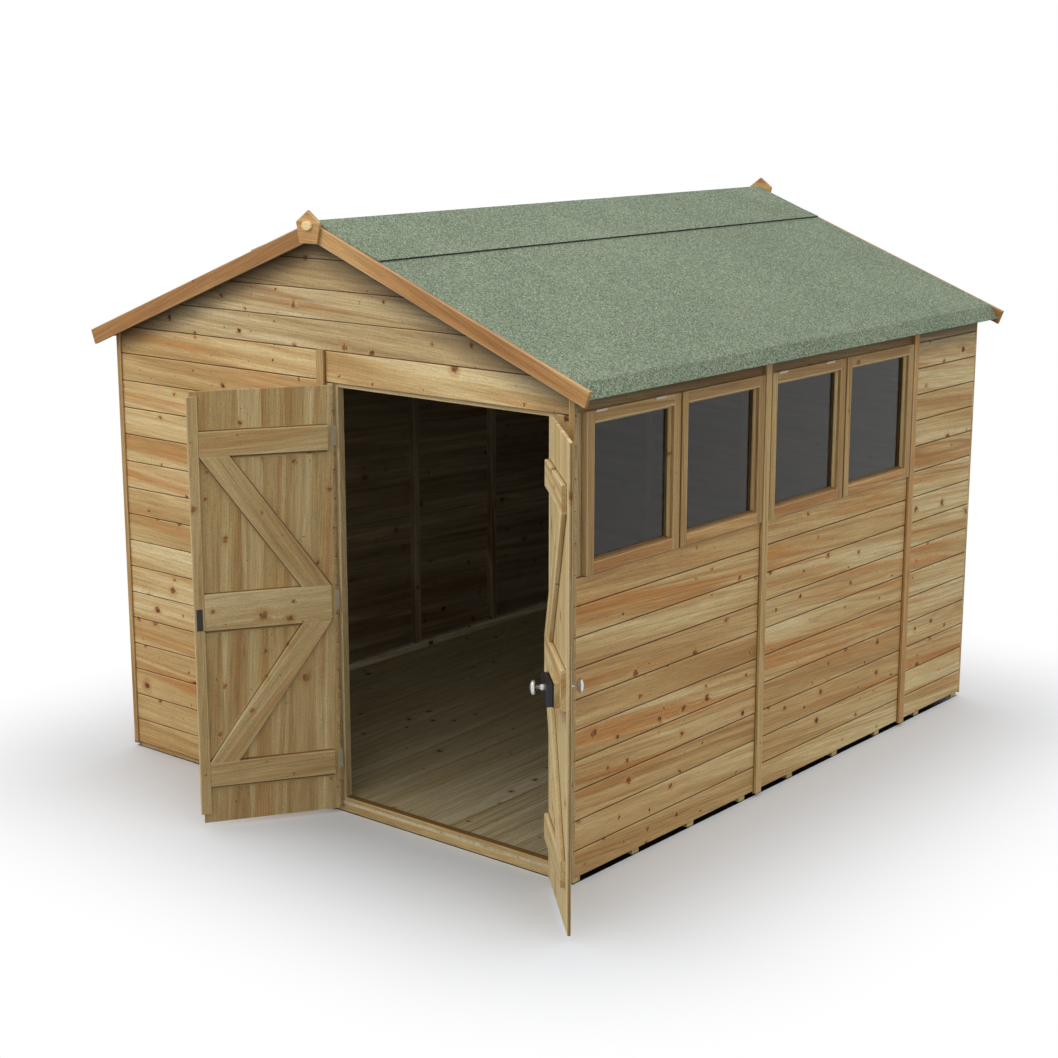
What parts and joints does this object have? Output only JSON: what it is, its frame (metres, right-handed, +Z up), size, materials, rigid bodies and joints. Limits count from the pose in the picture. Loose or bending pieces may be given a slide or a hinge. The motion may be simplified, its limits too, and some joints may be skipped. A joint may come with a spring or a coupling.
{
  "type": "wooden garden shed",
  "caption": "Timber garden shed with an apex roof, shiplap board walls, ledged and braced double doors in the gable and a row of windows along one side.",
  "frame": {"origin": "on the ground under the middle of the middle floor bearer, at the middle of the plan", "axes": "+Z up, front gable with the doors towards -Y, +X to the right seen from the front, towards the windows"},
  "size_m": [2.8956, 3.5912, 2.4181],
  "materials": {
    "pine": "planed pressure-treated softwood, bare",
    "floor_pine": "planed softwood floor boards, bare",
    "trim_pine": "planed treated softwood trim, warmer brown",
    "felt": "green mineral grit on roofing felt",
    "glass": "clear sheet, dark room behind",
    "steel": "bright plated steel",
    "black_iron": "satin black enamel"
  },
  "bodies": {
    "shed": {"floor_bearers": "pine", "floor_boards": "floor_pine", "front_wall_left_panel": "pine", "front_wall_over_door": "pine", "front_wall_door_cheeks": "pine", "front_gable": "pine", "back_gable": "pine", "back_wall_panels": "pine", "left_wall_panels": "pine", "right_wall_panels": "pine", "right_wall_header_boards": "pine", "gable_studs": "pine", "gable_rails": "pine", "gable_rafters": "pine", "side_wall_studs": "pine", "side_wall_rails": "pine", "doorway_sill": "trim_pine", "corner_strips": "trim_pine", "cover_strips": "trim_pine", "window_stiles": "trim_pine", "window_rails": "trim_pine", "window_glass": "glass", "roof_boards_left": "pine", "roof_boards_right": "pine", "roof_battens": "pine", "roof_felt_left": "felt", "roof_felt_right": "felt", "roof_ridge_felt": "felt", "bargeboards": "trim_pine", "finials": "trim_pine", "finial_discs": "trim_pine", "hinge_frame_leaves": "steel"},
    "left_door": {"left_door_boards": "pine", "left_door_ledges": "pine", "left_door_braces": "pine", "left_door_meeting_batten": "pine", "left_door_keep": "black_iron", "left_door_hinge_leaves": "steel"},
    "right_door": {"right_door_boards": "pine", "right_door_ledges": "pine", "right_door_braces": "pine", "right_door_lock": "black_iron", "right_door_knobs": "steel", "right_door_hinge_leaves": "steel"}
  },
  "joints": [
    {"name": "left_door_hinge", "type": "hinge", "parent": "shed", "child": "left_door", "pos_m": [0.048, -1.5125, 0.9], "axis": [0, 0, -1], "range_deg": [-122, 38]},
    {"name": "right_door_hinge", "type": "hinge", "parent": "shed", "child": "right_door", "pos_m": [1.157, -1.5125, 0.9], "axis": [0, 0, 1], "range_deg": [-136, 24]}
  ]
}
